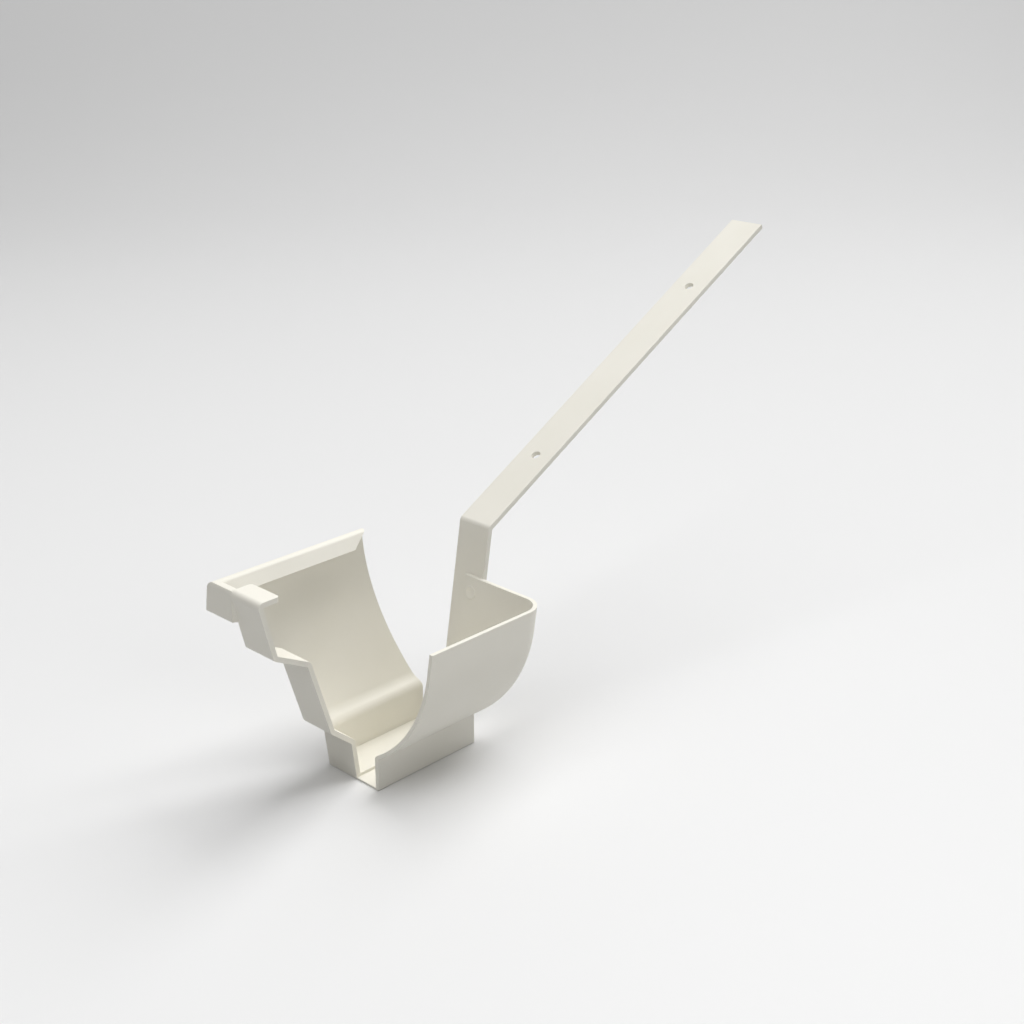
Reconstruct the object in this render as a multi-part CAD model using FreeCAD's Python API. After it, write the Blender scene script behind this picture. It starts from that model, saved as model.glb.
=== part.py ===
import FreeCAD, Part
import math
import os

V = FreeCAD.Vector

# Gutter bracket, in millimetres. X runs across the strap, Y towards the building, Z up.
# While drawing, X is 0 at the strap's left edge, and Y is 0 at the front of the base.

# Strap: one flat bar bent into the moulded front, the floor, the riser and the rafter arm
strap_width = 25.0
strap_thickness = 3.2
base_bend_radius = 1.0
strap_bend_radius = 3.6
strap_bend_inside = 0.8
floor_depth = 93.64
base_middle = 39.65
toe_out, toe_up = 3.1, 25.0
ledge_out, ledge_up = 17.7, 37.3
belly_out, belly_up = 32.1, 85.6
shoulder_out, shoulder_up = 54.8, 97.4
front_out, front_up = 63.8, 134.2
tab_depth = 15.6
tab_corner = 2.5
riser_lean = 9.45
riser_fold_height = 125.45
arm_rise = 28.76
arm_length = 304.1
arm_hole_diameter = 6.0
arm_hole_near = 60.9
arm_hole_far = 232.5

# Rear cheek: the deep curved side on the right of the strap
rear_sheet = 2.6
shelf_thickness = 1.4
shelf_width = 19.2
rear_wall_height = 20.6
rear_reach = 54.0
rear_curve_radius = 72.3
rear_top = 95.3
rear_corner_radius = 15.2
shelf_bend_radius = 1.0
flange_overlap = 13.4

# Front cheek: the shallow curved side on the left of the strap
front_sheet = 2.0
front_wall_height = 26.6
front_wall_rounding = 6.0
front_ledge_height = 30.0
front_ledge_rounding = 9.0
front_reach = 23.0
front_curve_radius = 150.0
front_curve_middle = 99.0
front_curve_start = 38.0
front_wall_rear = 77.0
front_rim_rear = 47.9
front_rear_bow = 1.2
rim_height = 133.6
rim_fold_radius = 4.2
lip_slope = 59.0
lip_width = 8.0
lip_cut_back = 12.2
lip_cut_drop = 8.0
rim_band = 18.5
fascia_out = 60.4
fascia_return = 3.8
fascia_rounding = 3.0
edge_foot_in, edge_foot_below_toe = 2.0, 3.0
edge_ledge_out, edge_ledge_above_toe = 4.0, 8.0
edge_belly_out, edge_belly_above_toe = 7.0, 33.0
edge_shoulder_out, edge_above_shoulder = 36.0, 2.0
edge_top_out = 42.0

# Rivet that holds the rear cheek's flange to the riser
rivet_diameter = 4.0
rivet_head_diameter = 9.0
rivet_head_height = 0.4
rivet_dish_diameter = 7.0
rivet_dish_depth = 0.55
rivet_tail_diameter = 6.4
rivet_tail_height = 0.8
rivet_from_edge = 7.2
rivet_height = 85.2
rivet_clearance = 0.0

lean_slope = math.tan(math.radians(riser_lean))
riser_front = floor_depth - strap_thickness / math.cos(math.radians(riser_lean))

# Reach of the blocks that cut a piece to its outline: across everything, and just past one piece
far = 400.0
past = 20.0


def side_point(y, z):
    return V(0, y, z)


def front_point(x, z):
    return V(x, 0, z)


def rounded_edges(points, radii):
    # Straight lines through the points, with an arc of the given radius at each inner corner
    edges = []
    start = points[0]
    for before, corner, after, radius in zip(points, points[1:], points[2:], radii):
        arrive = (corner - before).normalize()
        leave = (after - corner).normalize()
        half_turn = arrive.getAngle(leave) / 2
        reach = radius * math.tan(half_turn)
        first = corner - arrive * reach
        last = corner + leave * reach
        bisector = (leave - arrive).normalize()
        middle = corner + bisector * (radius / math.cos(half_turn) - radius)
        if start.distanceToPoint(first) > 0.001:
            edges.append(Part.makeLine(start, first))
        edges.append(Part.Arc(first, middle, last).toShape())
        start = last
    if start.distanceToPoint(points[-1]) > 0.001:
        edges.append(Part.makeLine(start, points[-1]))
    return edges


def sheet_face(edges, thickness):
    # The band between a line and its parallel at one sheet's thickness
    return Part.Wire(edges).makeOffset2D(thickness, 0, True, True)


def polygon_solid(points, direction):
    return Part.Face(Part.makePolygon(points + [points[0]])).extrude(direction)


def wide_slab(edges):
    # A solid with this outline seen from the side, wide enough to cover every piece
    solid = Part.Face(Part.Wire(edges)).extrude(V(2 * far, 0, 0))
    solid.translate(V(-far, 0, 0))
    return solid


def slab_between(points):
    corners = [side_point(y, z) for y, z in points]
    return wide_slab(Part.makePolygon(corners + corners[:1]).Edges)


def riser_back(z):
    return floor_depth + lean_slope * z


def strap_line():
    # The outside of the strap from the tab's end, down the front and up to the arm's end
    fold = side_point(riser_back(riser_fold_height), riser_fold_height)
    rise = math.radians(arm_rise)
    return [
        side_point(tab_depth - front_out, front_up),
        side_point(-front_out, front_up),
        side_point(-shoulder_out, shoulder_up),
        side_point(-belly_out, belly_up),
        side_point(-ledge_out, ledge_up),
        side_point(-toe_out, toe_up),
        side_point(0, 0),
        side_point(floor_depth, 0),
        fold,
        fold + side_point(arm_length * math.cos(rise), arm_length * math.sin(rise)),
    ]


def bend_radii(points):
    # Tight round the base, wider at the tab, and close on the inside of a bend that turns back
    radii = []
    for before, corner, after in zip(points, points[1:], points[2:]):
        turn = (corner - before).cross(after - corner).x
        outside = base_bend_radius if corner.z < toe_up else strap_bend_radius
        radii.append(outside if turn > 0 else strap_bend_inside)
    return radii


def arm_hole(distance):
    rise = math.radians(arm_rise)
    along = side_point(math.cos(rise), math.sin(rise))
    up = side_point(-math.sin(rise), math.cos(rise))
    fold = side_point(riser_back(riser_fold_height), riser_fold_height)
    start = fold + along * distance - up * strap_thickness + V(strap_width / 2, 0, 0)
    return Part.makeCylinder(arm_hole_diameter / 2, 3 * strap_thickness, start, up)


def rounded_tab(shape):
    # The two corners at the free end of the tab that turns in over the gutter
    end = tab_depth - front_out
    corners = [e for e in shape.Edges if e.BoundBox.YMin > end - 0.01 and e.BoundBox.YMax < end + 0.01
               and e.BoundBox.ZMin > front_up - strap_thickness - 0.01 and e.BoundBox.XLength < 0.01]
    return shape.makeFillet(tab_corner, corners)


def rafter_strap():
    line = strap_line()
    profile = sheet_face(rounded_edges(line, bend_radii(line)), -strap_thickness)
    shape = rounded_tab(profile.extrude(V(strap_width, 0, 0)))
    for distance in (arm_hole_near, arm_hole_far):
        shape = shape.cut(arm_hole(distance))
    return shape.cut(rivet_hole())


def rear_centre():
    x = strap_width + rear_reach - rear_curve_radius
    across = strap_width + shelf_width - x
    return x, rear_wall_height + math.sqrt(rear_curve_radius ** 2 - across ** 2)


def riser_plane(z, forward):
    # Y of the riser's front face at this height, moved towards the gutter by a distance
    return riser_front + lean_slope * z - forward / math.cos(math.radians(riser_lean))


def base_depth():
    # The base's side ends where the rear corner starts to turn
    return riser_plane(rear_wall_height, rear_corner_radius)


def rear_wall():
    # Shelf pressed thinner than the rest, upright wall and curved side, cut to the outline seen
    # from the side
    wall = strap_width + shelf_width
    centre_x, centre_z = rear_centre()
    middle = math.atan2(rear_wall_height - centre_z, wall - centre_x) / 2
    foot = [front_point(strap_width, 0), front_point(wall, 0), front_point(wall, rear_wall_height)]
    edges = rounded_edges(foot, [shelf_bend_radius])
    edges.append(Part.Arc(
        foot[-1],
        front_point(centre_x + rear_curve_radius * math.cos(middle),
                    centre_z + rear_curve_radius * math.sin(middle)),
        front_point(centre_x + rear_curve_radius, centre_z)).toShape())
    edges.append(Part.makeLine(front_point(centre_x + rear_curve_radius, centre_z),
                               front_point(centre_x + rear_curve_radius, rear_top)))
    profile = sheet_face(edges, rear_sheet)
    shape = profile.extrude(V(0, far, 0))
    shape.translate(V(0, -far / 2, 0))
    relief = Part.makeBox(shelf_width - rear_sheet, far, rear_sheet)
    relief.translate(V(strap_width, -1, shelf_thickness))
    above = rear_top + 1
    return shape.cut(relief).common(slab_between([
        (0, -1),
        (base_depth(), -1),
        (base_depth(), rear_wall_height),
        (riser_plane(above, rear_corner_radius), above),
        (lean_slope * (above - rear_wall_height), above),
        (0, rear_wall_height),
    ]))


def rear_bowl(inset, top):
    # A block with the cheek's curve below and the riser's slope behind, its rear corner rounded
    centre_x, centre_z = rear_centre()
    radius = rear_curve_radius - inset
    side = centre_x + radius
    turn = -math.pi / 4
    edges = [
        Part.Arc(front_point(centre_x, centre_z - radius),
                 front_point(centre_x + radius * math.cos(turn), centre_z + radius * math.sin(turn)),
                 front_point(side, centre_z)).toShape(),
        Part.makeLine(front_point(side, centre_z), front_point(side, top)),
        Part.makeLine(front_point(side, top), front_point(centre_x, top)),
        Part.makeLine(front_point(centre_x, top), front_point(centre_x, centre_z - radius)),
    ]
    block = Part.Face(Part.Wire(edges)).extrude(V(0, far, 0))
    block = block.common(slab_between([
        (rear_corner_radius - inset, -past),
        (riser_plane(-past, inset), -past),
        (riser_plane(top + past, inset), top + past),
        (rear_corner_radius - inset, top + past),
    ]))
    corner = [e for e in block.Edges
              if all(abs(v.Y - riser_plane(v.Z, inset)) < 0.01 for v in e.Vertexes)
              and e.BoundBox.XMax > centre_x + 1 and e.BoundBox.ZMin < top - 1]
    return block.makeFillet(rear_corner_radius - inset, corner)


def rear_corner():
    # The rounded corner and the flange that lies on the riser
    centre_x, centre_z = rear_centre()
    wall = strap_width + shelf_width
    inward_x = (centre_x - wall) / rear_curve_radius
    inward_z = (centre_z - rear_wall_height) / rear_curve_radius
    flange_bottom = rear_wall_height + rear_corner_radius * inward_z
    shell = rear_bowl(0, rear_top).cut(rear_bowl(rear_sheet, rear_top + past))
    shell = shell.common(slab_between([
        (riser_plane(-past, rear_corner_radius), -past),
        (far, -past),
        (far, rear_top + past),
        (riser_plane(rear_top + past, rear_corner_radius), rear_top + past),
    ]))
    outline = [
        front_point(strap_width - flange_overlap, flange_bottom),
        front_point(wall + rear_corner_radius * inward_x, flange_bottom),
        front_point(wall, rear_wall_height),
        front_point(wall - past * inward_x, rear_wall_height - past * inward_z),
        front_point(far, 0),
        front_point(far, far),
        front_point(strap_width - flange_overlap, far),
    ]
    return shell.common(polygon_solid(outline, V(0, far, 0)))


def rear_cheek():
    shape = rear_wall().fuse(rear_corner()).removeSplitter()
    return shape.cut(rivet_hole())


def rim_fold():
    # The middle of the rim's fold, and how far the wall leans inward where the fold begins
    centre_x = front_curve_radius - front_reach
    inside = rim_fold_radius - front_sheet
    climb = rim_height - rim_fold_radius - front_curve_middle
    lean = math.asin(climb / (front_curve_radius - inside))
    reach = (front_curve_radius - inside) * math.cos(lean)
    return front_point(centre_x - reach, rim_height - rim_fold_radius), math.degrees(lean)


def fold_point(radius, angle):
    # A point of the rim's fold, its angle counted from straight up towards the strap
    turn = math.radians(angle)
    return rim_fold()[0] + front_point(radius * math.sin(turn), radius * math.cos(turn))


def curve_point(radius, height):
    # A point of the front cheek's long curve, on the circle of this radius
    climb = height - front_curve_middle
    return front_point(front_curve_radius - front_reach - math.sqrt(radius ** 2 - climb ** 2), height)


def front_profile():
    # Upright wall, ledge, long curve, rim fold and lip, drawn along their gutter side
    start = curve_point(front_curve_radius, front_curve_start)
    drop = front_curve_middle - front_curve_start
    run = math.sqrt(front_curve_radius ** 2 - drop ** 2)
    ledge = start + front_point(drop, -run) * ((front_curve_start - front_ledge_height) / run)
    inside = rim_fold_radius - front_sheet
    begin = rim_fold()[1] - 90
    end = 90 - lip_slope
    lip = front_point(math.cos(math.radians(lip_slope)), -math.sin(math.radians(lip_slope)))
    edges = rounded_edges([front_point(0, 0), front_point(0, front_wall_height), ledge, start],
                          [front_wall_rounding, front_ledge_rounding])
    edges.append(Part.Arc(start, curve_point(front_curve_radius, front_curve_middle),
                          fold_point(inside, begin)).toShape())
    edges.append(Part.Arc(fold_point(inside, begin), fold_point(inside, 0),
                          fold_point(inside, end)).toShape())
    edges.append(Part.makeLine(fold_point(inside, end), fold_point(inside, end) + lip * lip_width))
    return sheet_face(edges, front_sheet)


def front_outline():
    # The front cheek seen from the side: it follows the strap, and its rear edge is hollow
    band = rim_height - rim_band
    low = side_point(front_wall_rear, toe_up)
    high = side_point(front_rim_rear, rim_height)
    hollow = (high - low).normalize().cross(V(1, 0, 0)) * front_rear_bow
    corners = [side_point(y, z) for y, z in [
        (front_wall_rear, toe_up),
        (front_wall_rear, 0),
        (edge_foot_in, 0),
        (edge_foot_in, toe_up - edge_foot_below_toe),
        (-edge_ledge_out, toe_up + edge_ledge_above_toe),
        (-edge_belly_out, toe_up + edge_belly_above_toe),
        (-edge_shoulder_out, shoulder_up + edge_above_shoulder),
        (-edge_top_out, band),
        (-fascia_out, band),
        (-fascia_out, rim_height),
        (front_rim_rear, rim_height),
    ]]
    edges = Part.makePolygon(corners).Edges
    edges.append(Part.Arc(high, (high + low) / 2 - hollow, low).toShape())
    return edges


def front_wall():
    # The folded side, cut to its outline, with the end of its lip cut back
    shape = front_profile().extrude(V(0, far, 0))
    shape.translate(V(0, -far / 2, 0))
    shape = shape.common(wide_slab(front_outline()))
    lip_end = polygon_solid([
        side_point(front_rim_rear, rim_height),
        side_point(front_rim_rear - lip_cut_back, rim_height - lip_cut_drop),
        side_point(front_rim_rear - lip_cut_back, rim_height - past),
        side_point(front_rim_rear + past, rim_height - past),
        side_point(front_rim_rear + past, rim_height),
    ], V(far, 0, 0))
    lip_end.translate(V(rim_fold()[0].x, 0, 0))
    return shape.cut(lip_end)


def fascia():
    # The plate that closes the rim's front end and butts the strap's left edge
    band = rim_height - rim_band
    line = [side_point(fascia_return - fascia_out, rim_height), side_point(-fascia_out, rim_height),
            side_point(-fascia_out, band)]
    plate = sheet_face(rounded_edges(line, [fascia_rounding]), front_sheet)
    plate = plate.extrude(V(-2 * front_reach, 0, 0))
    outside = front_curve_radius + front_sheet
    begin = rim_fold()[1] - 90
    corner = curve_point(outside, band)
    outline = [
        Part.makeLine(front_point(0, rim_height), front_point(0, band)),
        Part.makeLine(front_point(0, band), corner),
        Part.Arc(corner, curve_point(outside, rim_height - rim_band / 2),
                 fold_point(rim_fold_radius, begin)).toShape(),
        Part.Arc(fold_point(rim_fold_radius, begin), fold_point(rim_fold_radius, begin / 2),
                 fold_point(rim_fold_radius, 0)).toShape(),
        Part.makeLine(fold_point(rim_fold_radius, 0), front_point(0, rim_height)),
    ]
    face = Part.Face(Part.Wire(outline))
    face.translate(V(0, -far / 2, 0))
    return plate.common(face.extrude(V(0, far, 0)))


def front_cheek():
    return front_wall().fuse(fascia()).removeSplitter()


def rivet_axis():
    lean = math.radians(riser_lean)
    backward = side_point(math.cos(lean), -math.sin(lean))
    seat = V(strap_width - rivet_from_edge, riser_plane(rivet_height, rear_sheet), rivet_height)
    return seat, backward


def rivet_hole():
    seat, backward = rivet_axis()
    radius = rivet_diameter / 2 + rivet_clearance
    return Part.makeCylinder(radius, past, seat - backward * past / 2, backward)


def flange_rivet():
    # Turned about its own axis: flat head with a dish, shank through both sheets, formed tail
    seat, backward = rivet_axis()
    grip = rear_sheet + strap_thickness
    head = rivet_head_diameter / 2
    dish = rivet_dish_diameter / 2
    tail = rivet_tail_diameter / 2
    shank = rivet_diameter / 2
    dish_bottom = rivet_dish_depth - rivet_head_height

    def at(distance, depth):
        return seat + V(distance, 0, 0) + backward * depth

    corners = [
        at(dish, -rivet_head_height),
        at((dish + head) / 2, -rivet_head_height),
        at(head, 0),
        at(shank, 0),
        at(shank, grip),
        at(tail, grip),
        at(shank, grip + rivet_tail_height),
        at(0, grip + rivet_tail_height),
        at(0, dish_bottom),
    ]
    profile = Part.makePolygon(corners).Edges
    hollow = at(dish / 2, dish_bottom - rivet_dish_depth / 4)
    profile.append(Part.Arc(corners[-1], hollow, corners[0]).toShape())
    return Part.Face(Part.Wire(profile)).revolve(seat, backward, 360)


def save(node, shape):
    # The shared origin is the middle of the base's underside
    shape.translate(V(-(strap_width + shelf_width) / 2, -base_middle, 0))
    shape.exportStep("parts/%s.step" % node)


os.makedirs("parts", exist_ok=True)
save("rafter_strap", rafter_strap())
save("front_cheek", front_cheek())
save("rear_cheek", rear_cheek())
save("flange_rivet", flange_rivet())
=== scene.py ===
import math

import bmesh
import bpy
from mathutils import Matrix, Vector


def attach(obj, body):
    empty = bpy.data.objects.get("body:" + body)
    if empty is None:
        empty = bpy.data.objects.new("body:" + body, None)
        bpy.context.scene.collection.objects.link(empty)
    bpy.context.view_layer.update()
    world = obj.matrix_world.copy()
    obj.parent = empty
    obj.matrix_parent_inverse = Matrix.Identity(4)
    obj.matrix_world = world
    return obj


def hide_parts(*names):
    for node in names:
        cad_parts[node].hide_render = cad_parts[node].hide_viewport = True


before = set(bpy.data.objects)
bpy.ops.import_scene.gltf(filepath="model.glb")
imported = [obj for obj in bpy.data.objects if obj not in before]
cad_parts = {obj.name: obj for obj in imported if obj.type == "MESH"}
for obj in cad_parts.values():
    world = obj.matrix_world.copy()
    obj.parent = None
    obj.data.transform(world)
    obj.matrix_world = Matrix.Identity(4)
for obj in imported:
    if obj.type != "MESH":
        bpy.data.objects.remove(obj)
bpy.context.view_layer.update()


# Rafter strap. One hot-rolled flat bar, bent into the moulded front, the floor, the riser and the
# long arm, with its corners broken before painting. The cheeks and the rivet are fixed to it.

# Lengths are in metres here
merge_distance = 0.000004
flat_within = math.radians(0.4)
sharp_from = math.radians(28)
bar_corner, sheet_corner, rivet_corner = 0.00035, 0.00025, 0.00012


def dressed(node, corner):
    # The solid's own shape, its triangles joined and its sharp corners broken as under paint. The
    # weighted normals keep its flat faces flat beside the broken corners
    shell = bmesh.new()
    shell.from_mesh(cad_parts[node].data)
    bmesh.ops.remove_doubles(shell, verts=shell.verts, dist=merge_distance)
    bmesh.ops.dissolve_limit(shell, angle_limit=flat_within, verts=shell.verts,
                             edges=shell.edges, delimit={'NORMAL'})
    mesh = bpy.data.meshes.new(node + "_painted")
    shell.to_mesh(mesh)
    shell.free()
    mesh.shade_smooth()
    piece = bpy.data.objects.new(node + "_painted", mesh)
    bpy.context.scene.collection.objects.link(piece)
    bevel = piece.modifiers.new("broken corners", 'BEVEL')
    bevel.width = corner
    bevel.segments = 3
    bevel.limit_method = 'ANGLE'
    bevel.angle_limit = sharp_from
    flats = piece.modifiers.new("flat faces stay flat", 'WEIGHTED_NORMAL')
    flats.mode = 'FACE_AREA'
    flats.weight = 50
    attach(piece, "root")
    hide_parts(node)
    return piece


def linear(tone):
    # An sRGB hex value as the linear colour that the shader takes
    parts = [int(tone[i:i + 2], 16) / 255 for i in (0, 2, 4)]
    return [p / 12.92 if p <= 0.04045 else ((p + 0.055) / 1.055) ** 2.4 for p in parts] + [1]


def add(tree, kind, settings={}, inputs={}):
    # A node with its settings, its plain values and its links, each socket by its name or number
    made = tree.nodes.new(kind)
    for name, value in settings.items():
        setattr(made, name, value)
    for name, value in inputs.items():
        if isinstance(value, bpy.types.NodeSocket):
            tree.links.new(value, made.inputs[name])
        else:
            made.inputs[name].default_value = value
    return made


def ivory_powder_coat():
    # Satin polyester powder coat, sprayed and baked: an even ivory with a faint orange peel,
    # a little cloudiness in its gloss, and a tone that drifts by a shade over the sheet
    coat = bpy.data.materials.new("ivory_powder_coat")
    coat.use_nodes = True
    tree = coat.node_tree
    tree.nodes.clear()
    place = add(tree, "ShaderNodeTexCoord")
    metres = place.outputs["Object"]
    drift = add(tree, "ShaderNodeTexNoise", {}, {"Vector": metres, "Scale": 22.0, "Detail": 3.0})
    tone = add(tree, "ShaderNodeValToRGB", {}, {"Fac": drift.outputs["Fac"]})
    stops = tone.color_ramp.elements
    for stop, position, shade in ((stops[0], 0.3, "EEEBE0"), (stops[1], 0.7, "F1EEE4")):
        stop.position = position
        stop.color = linear(shade)
    cloud = add(tree, "ShaderNodeTexNoise", {}, {"Vector": metres, "Scale": 90.0, "Detail": 4.0})
    gloss = add(tree, "ShaderNodeMapRange", {}, {"Value": cloud.outputs["Fac"], "From Min": 0.3,
                "From Max": 0.7, "To Min": 0.44, "To Max": 0.56})
    peel = add(tree, "ShaderNodeTexNoise", {}, {"Vector": metres, "Scale": 650.0, "Detail": 2.0})
    relief = add(tree, "ShaderNodeBump", {}, {"Height": peel.outputs["Fac"], "Strength": 0.12,
                 "Distance": 0.00012})
    paint = add(tree, "ShaderNodeBsdfPrincipled", {}, {"Base Color": tone.outputs["Color"],
                "Roughness": gloss.outputs["Result"], "Normal": relief.outputs["Normal"], "IOR": 1.5})
    add(tree, "ShaderNodeOutputMaterial", {}, {"Surface": paint.outputs["BSDF"]})
    return coat


powder_coat = ivory_powder_coat()
strap = dressed("rafter_strap", bar_corner)
strap.data.materials.append(powder_coat)


# Front cheek. Thin steel sheet with a shallow curve, a folded rim and a lip, its front end closed
# by a narrow fascia. Its foot and its fascia are joined to the strap's left edge, then painted.

front_cheek = dressed("front_cheek", sheet_corner)
front_cheek.data.materials.append(powder_coat)


# Fascia weld. A small wedge of weld metal, ground smooth and painted over, that closes the corner
# between the fascia's upright end and the strap's front, which leans away below it.

# In millimetres: across from the strap's left edge, along from the base's front, and up. The weld
# starts a little left of the strap's edge, so that no gap shows beside the fascia.
strap_left_edge, base_front = -22.1, -39.65
fascia_front, fascia_foot = -62.42, 115.1
strap_front_at_foot, strap_front_at_top = -59.1, -62.5
weld_left, weld_right_at_foot, weld_right_at_top = -0.4, 1.9, 0.15
weld_top, weld_back_at_top = 128.8, strap_front_at_top + 0.5
weld_corners = [(weld_left, fascia_front, fascia_foot),
                (weld_right_at_foot, strap_front_at_foot, fascia_foot),
                (weld_left, strap_front_at_foot, fascia_foot),
                (weld_left, fascia_front, weld_top),
                (weld_right_at_top, strap_front_at_top, weld_top),
                (weld_left, weld_back_at_top, weld_top)]
weld_shape = bmesh.new()
for across, along, up in weld_corners:
    weld_shape.verts.new(((across + strap_left_edge) / 1000, (along + base_front) / 1000, up / 1000))
bmesh.ops.convex_hull(weld_shape, input=weld_shape.verts)
weld_mesh = bpy.data.meshes.new("fascia_weld")
weld_shape.to_mesh(weld_mesh)
weld_shape.free()
weld_mesh.materials.append(powder_coat)
fascia_weld = bpy.data.objects.new("fascia_weld", weld_mesh)
bpy.context.scene.collection.objects.link(fascia_weld)
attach(fascia_weld, "root")


# Rear cheek. Thin steel sheet with a shelf, an upright wall, a deep round curve and a rounded
# corner that turns into the flange on the riser. The shelf's edge is joined to the strap.

rear_cheek = dressed("rear_cheek", sheet_corner)
rear_cheek.data.materials.append(powder_coat)


# Flange rivet. A low steel rivet with a faintly dished head. It is driven through the flange and
# the riser, clamps one to the other, and is painted over with the rest.

rivet = dressed("flange_rivet", rivet_corner)
rivet.data.materials.append(powder_coat)


# Studio floor. A pale satin board that runs level under the bracket and rises far behind it in one
# wide curve. It isn't part of the bracket.

sweep_front, sweep_half_width, sweep_top = -3.0, 4.0, 4.0
rise_start, rise_radius, rise_steps = 1.6, 1.2, 12
sweep_turn = math.radians(43.87)


def studio_sweep():
    # Its side view is level, then a quarter circle, then upright. It is drawn out sideways and
    # turned to the camera
    sweep = bmesh.new()
    side_view = [(sweep_front, 0.0)]
    for step in range(rise_steps + 1):
        turn = math.radians(90 * step / rise_steps)
        side_view.append((rise_start + rise_radius * math.sin(turn),
                          rise_radius - rise_radius * math.cos(turn)))
    side_view.append((rise_start + rise_radius, sweep_top))
    rows = [sweep.verts.new((-sweep_half_width, y, z)) for y, z in side_view]
    edges = [sweep.edges.new(pair) for pair in zip(rows, rows[1:])]
    wide = bmesh.ops.extrude_edge_only(sweep, edges=edges)
    moved = [v for v in wide["geom"] if isinstance(v, bmesh.types.BMVert)]
    bmesh.ops.translate(sweep, verts=moved, vec=(2 * sweep_half_width, 0, 0))
    bmesh.ops.recalc_face_normals(sweep, faces=sweep.faces)
    bmesh.ops.rotate(sweep, verts=sweep.verts, matrix=Matrix.Rotation(sweep_turn, 3, 'Z'))
    mesh = bpy.data.meshes.new("studio_sweep")
    sweep.to_mesh(mesh)
    sweep.free()
    mesh.shade_smooth()
    floor = bpy.data.objects.new("studio_sweep", mesh)
    bpy.context.scene.collection.objects.link(floor)
    return floor


def background_rays(tree):
    # 1 for the rays that show the background: the camera's own, mirrored ones and those through
    # glass. 0 for all others
    path = add(tree, "ShaderNodeLightPath")
    mirrored = add(tree, "ShaderNodeMath", {"operation": 'MAXIMUM'},
                   {0: path.outputs["Is Camera Ray"], 1: path.outputs["Is Glossy Ray"]})
    either = add(tree, "ShaderNodeMath", {"operation": 'MAXIMUM'},
                 {0: mirrored.outputs[0], 1: path.outputs["Is Transmission Ray"]})
    return either.outputs[0]


# Where a colour mix takes its two colours and gives its result
mix_first, mix_second, mix_result = 6, 7, 2


def pale_sweep_paint():
    # Pale satin board that keeps the bracket's shadow and a faint reflection of it. To the
    # camera it shows painted shade, a tone darker towards the back where the lamps' light
    # falls off, as the photograph's sweep does
    board = bpy.data.materials.new("pale_sweep_paint")
    board.use_nodes = True
    tree = board.node_tree
    tree.nodes.clear()
    place = add(tree, "ShaderNodeTexCoord")
    apart = add(tree, "ShaderNodeSeparateXYZ", {}, {"Vector": place.outputs["Object"]})
    # Painted shade: the board's tone runs darker towards the back, standing in for the lamps' falloff
    painted_shade_towards_back = add(tree, "ShaderNodeMapRange", {}, {"Value": apart.outputs["Y"], "From Min": -0.8,
               "From Max": 2.6})
    pale = add(tree, "ShaderNodeMix", {"data_type": 'RGBA'}, {"Factor": painted_shade_towards_back.outputs["Result"],
               mix_first: linear("F1F1F1"), mix_second: linear("C2C2C2")})
    seen = background_rays(tree)
    shown = add(tree, "ShaderNodeMix", {"data_type": 'RGBA'}, {"Factor": seen,
                mix_first: linear("CCCCCC"), mix_second: pale.outputs[mix_result]})
    paint = add(tree, "ShaderNodeBsdfPrincipled", {}, {"Base Color": shown.outputs[mix_result],
                "Roughness": 0.3, "Specular IOR Level": 0.3})
    # The rising part, which the lamps reach unevenly, is seen at one pale tone
    rise = add(tree, "ShaderNodeMapRange", {}, {"Value": apart.outputs["Z"], "From Max": 0.7})
    risen = add(tree, "ShaderNodeMath", {"operation": 'MULTIPLY'}, {0: rise.outputs["Result"],
                1: seen})
    even = add(tree, "ShaderNodeEmission", {}, {"Color": linear("C6C6C6")})
    blend = add(tree, "ShaderNodeMixShader", {}, {"Fac": risen.outputs[0], 1: paint.outputs["BSDF"],
                2: even.outputs["Emission"]})
    add(tree, "ShaderNodeOutputMaterial", {}, {"Surface": blend.outputs[0]})
    return board


floor = studio_sweep()
floor.data.materials.append(pale_sweep_paint())


# Studio light. The key is a wide soft box above and behind; weaker ones stand overhead, in front
# and on the right, and the room adds a little even light. All are square and face the bracket.

object_middle = Vector((0.0, 0.0, 0.05))


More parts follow.
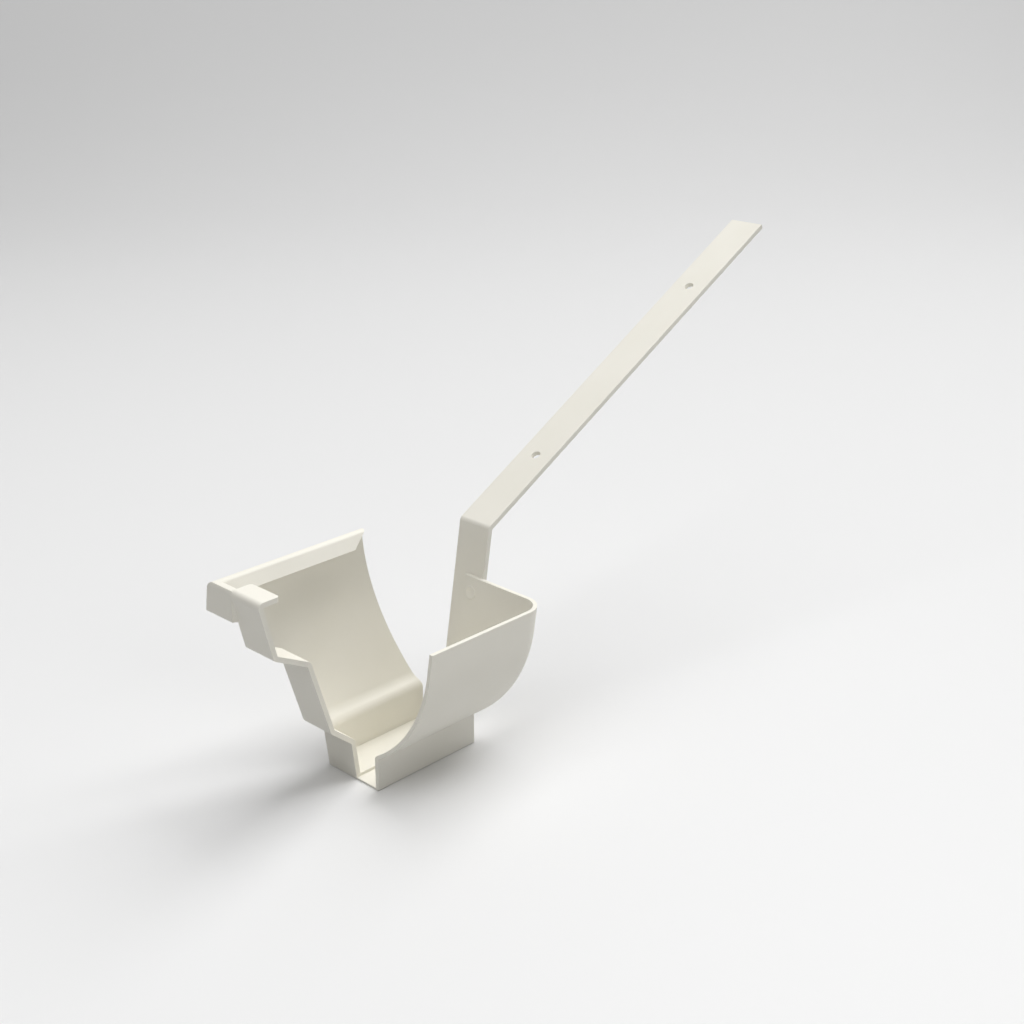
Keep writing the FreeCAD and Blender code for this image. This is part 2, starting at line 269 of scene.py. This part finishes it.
def soft_box(name, place, side, watts):
    lamp = bpy.data.lights.new(name, 'AREA')
    lamp.shape = 'RECTANGLE'
    lamp.size = side
    lamp.size_y = side
    lamp.energy = watts
    box = bpy.data.objects.new(name, lamp)
    box.location = place
    box.rotation_euler = (object_middle - Vector(place)).to_track_quat('-Z', 'Y').to_euler()
    bpy.context.scene.collection.objects.link(box)
    return box


# Mirrored rays don't see the key, because the satin floor would show it as a white patch
key_box = soft_box("key_box", (0.0, 1.8, 2.4), side=2.6, watts=78.0)
key_box.visible_glossy = False
soft_box("overhead_box", (0.0, 0.1, 2.8), side=2.0, watts=22.0)
soft_box("front_box", (0.0, -1.8, 2.4), side=2.0, watts=22.0)
soft_box("right_box", (1.6, -0.15, 0.85), side=1.0, watts=5.0)

# The room is seen as a pale wall, and lights the bracket only faintly
room = bpy.data.worlds.new("even_room")
room.use_nodes = True
room_tree = room.node_tree
room_tree.nodes.clear()
room_seen = background_rays(room_tree)
room_strength = add(room_tree, "ShaderNodeMapRange", {}, {"Value": room_seen, "To Min": 0.06,
                    "To Max": 0.6})
room_glow = add(room_tree, "ShaderNodeBackground", {}, {"Color": linear("F4F4F2"),
                "Strength": room_strength.outputs["Result"]})
add(room_tree, "ShaderNodeOutputWorld", {}, {"Surface": room_glow.outputs["Background"]})
bpy.context.scene.world = room


# Camera. It stands where the photograph's straight lines say, in front of the bracket and to its
# right, a little under a metre away, and looks down at it.

camera = bpy.data.cameras.new("photograph_camera")
camera.sensor_width = 36.0
camera.lens = 55.08
camera_place = Vector((0.6246, -0.55465, 0.4838))
camera_right = Vector((0.7209, 0.6930, 0.0))
camera_back = Vector((0.6452, -0.6712, 0.3650))
camera_up = camera_back.cross(camera_right)
viewpoint = bpy.data.objects.new("photograph_camera", camera)
viewpoint.matrix_world = Matrix.Translation(camera_place) @ Matrix(
    (camera_right, camera_up, camera_back)).transposed().to_4x4()
bpy.context.scene.collection.objects.link(viewpoint)
bpy.context.scene.camera = viewpoint

bpy.context.scene.view_settings.view_transform = 'Standard'
